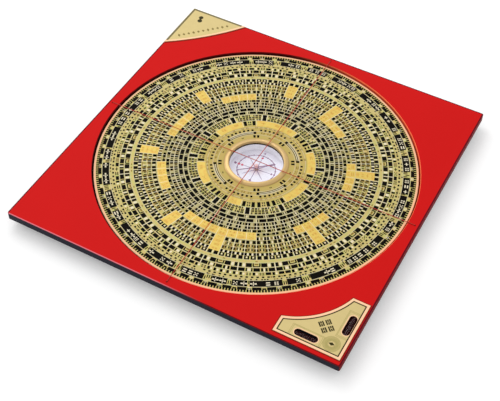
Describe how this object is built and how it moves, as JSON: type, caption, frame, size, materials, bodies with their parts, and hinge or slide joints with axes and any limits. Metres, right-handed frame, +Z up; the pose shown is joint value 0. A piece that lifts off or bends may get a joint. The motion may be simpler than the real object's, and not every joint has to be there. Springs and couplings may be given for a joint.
{
  "type": "feng shui compass",
  "caption": "Square board with a turning dial, a sealed needle capsule at its centre, tubular levels in a corner plate and crossed sighting threads.",
  "frame": {"origin": "centre of the underside of the square board, where it rests on a table", "axes": "+Z up out of the dial's face, +X along the front edge towards the corner plate that holds the levels, +Y to the back edge"},
  "size_m": [0.288, 0.288, 0.0166],
  "materials": {
    "board_black": "satin black phenolic",
    "sheet_red": "smooth red laminate",
    "plate_gold": "satin gold printed in black",
    "brass_turned": "turned brass",
    "steel_bright": "bright steel",
    "steel_blued": "blued spring steel",
    "glass_clear": "clear flat glass",
    "level_glass": "clear drawn tube",
    "level_spirit": "tinted spirit",
    "level_black": "black setting compound",
    "seal_rubber": "black rubber",
    "card_white": "white card printed in red",
    "thread_red": "taut red nylon",
    "slip_white": "slippery white plastic",
    "jewel_ruby": "polished synthetic ruby"
  },
  "bodies": {
    "base": {"base_board": "board_black", "red_top_sheet": "sheet_red", "front_corner_plate": "plate_gold", "back_corner_plate": "plate_gold", "centre_bush": "brass_turned", "bush_screw_1": "steel_bright", "bush_screw_2": "steel_bright", "bush_screw_3": "steel_bright", "thrust_washer": "slip_white", "slip_ring": "slip_white", "bottom_cover": "board_black", "cover_screw_1": "steel_bright", "cover_screw_2": "steel_bright", "cover_screw_3": "steel_bright", "level_front_tube": "level_glass", "level_front_spirit": "level_spirit", "level_front_bed": "level_black", "level_front_plug_a": "level_black", "level_front_plug_b": "level_black", "level_right_tube": "level_glass", "level_right_spirit": "level_spirit", "level_right_bed": "level_black", "level_right_plug_a": "level_black", "level_right_plug_b": "level_black", "cross_thread_x": "thread_red", "cross_thread_y": "thread_red", "thread_washer_right": "brass_turned", "thread_washer_back": "brass_turned", "thread_washer_left": "brass_turned", "thread_washer_front": "brass_turned"},
    "dial": {"dial_disc": "board_black", "dial_face_plate": "plate_gold", "hub_ring": "brass_turned", "hub_screw_1": "steel_bright", "hub_screw_2": "steel_bright", "hub_screw_3": "steel_bright", "hub_screw_4": "steel_bright", "snap_ring": "steel_bright", "capsule_cup": "brass_turned", "capsule_card": "card_white", "pivot_collet": "brass_turned", "pivot_pin": "steel_bright", "capsule_gasket": "seal_rubber", "capsule_glass": "glass_clear", "bezel_ring": "brass_turned"},
    "needle": {"needle_blade": "steel_blued", "needle_cap": "brass_turned", "needle_jewel": "jewel_ruby"}
  },
  "joints": [
    {"name": "dial_turn", "type": "hinge", "parent": "base", "child": "dial", "pos_m": [0, 0, 0.008], "axis": [0, 0, 1], "continuous": true},
    {"name": "needle_swing", "type": "hinge", "parent": "dial", "child": "needle", "pos_m": [0, 0, 0.0092], "axis": [0, 0, 1], "continuous": true}
  ]
}
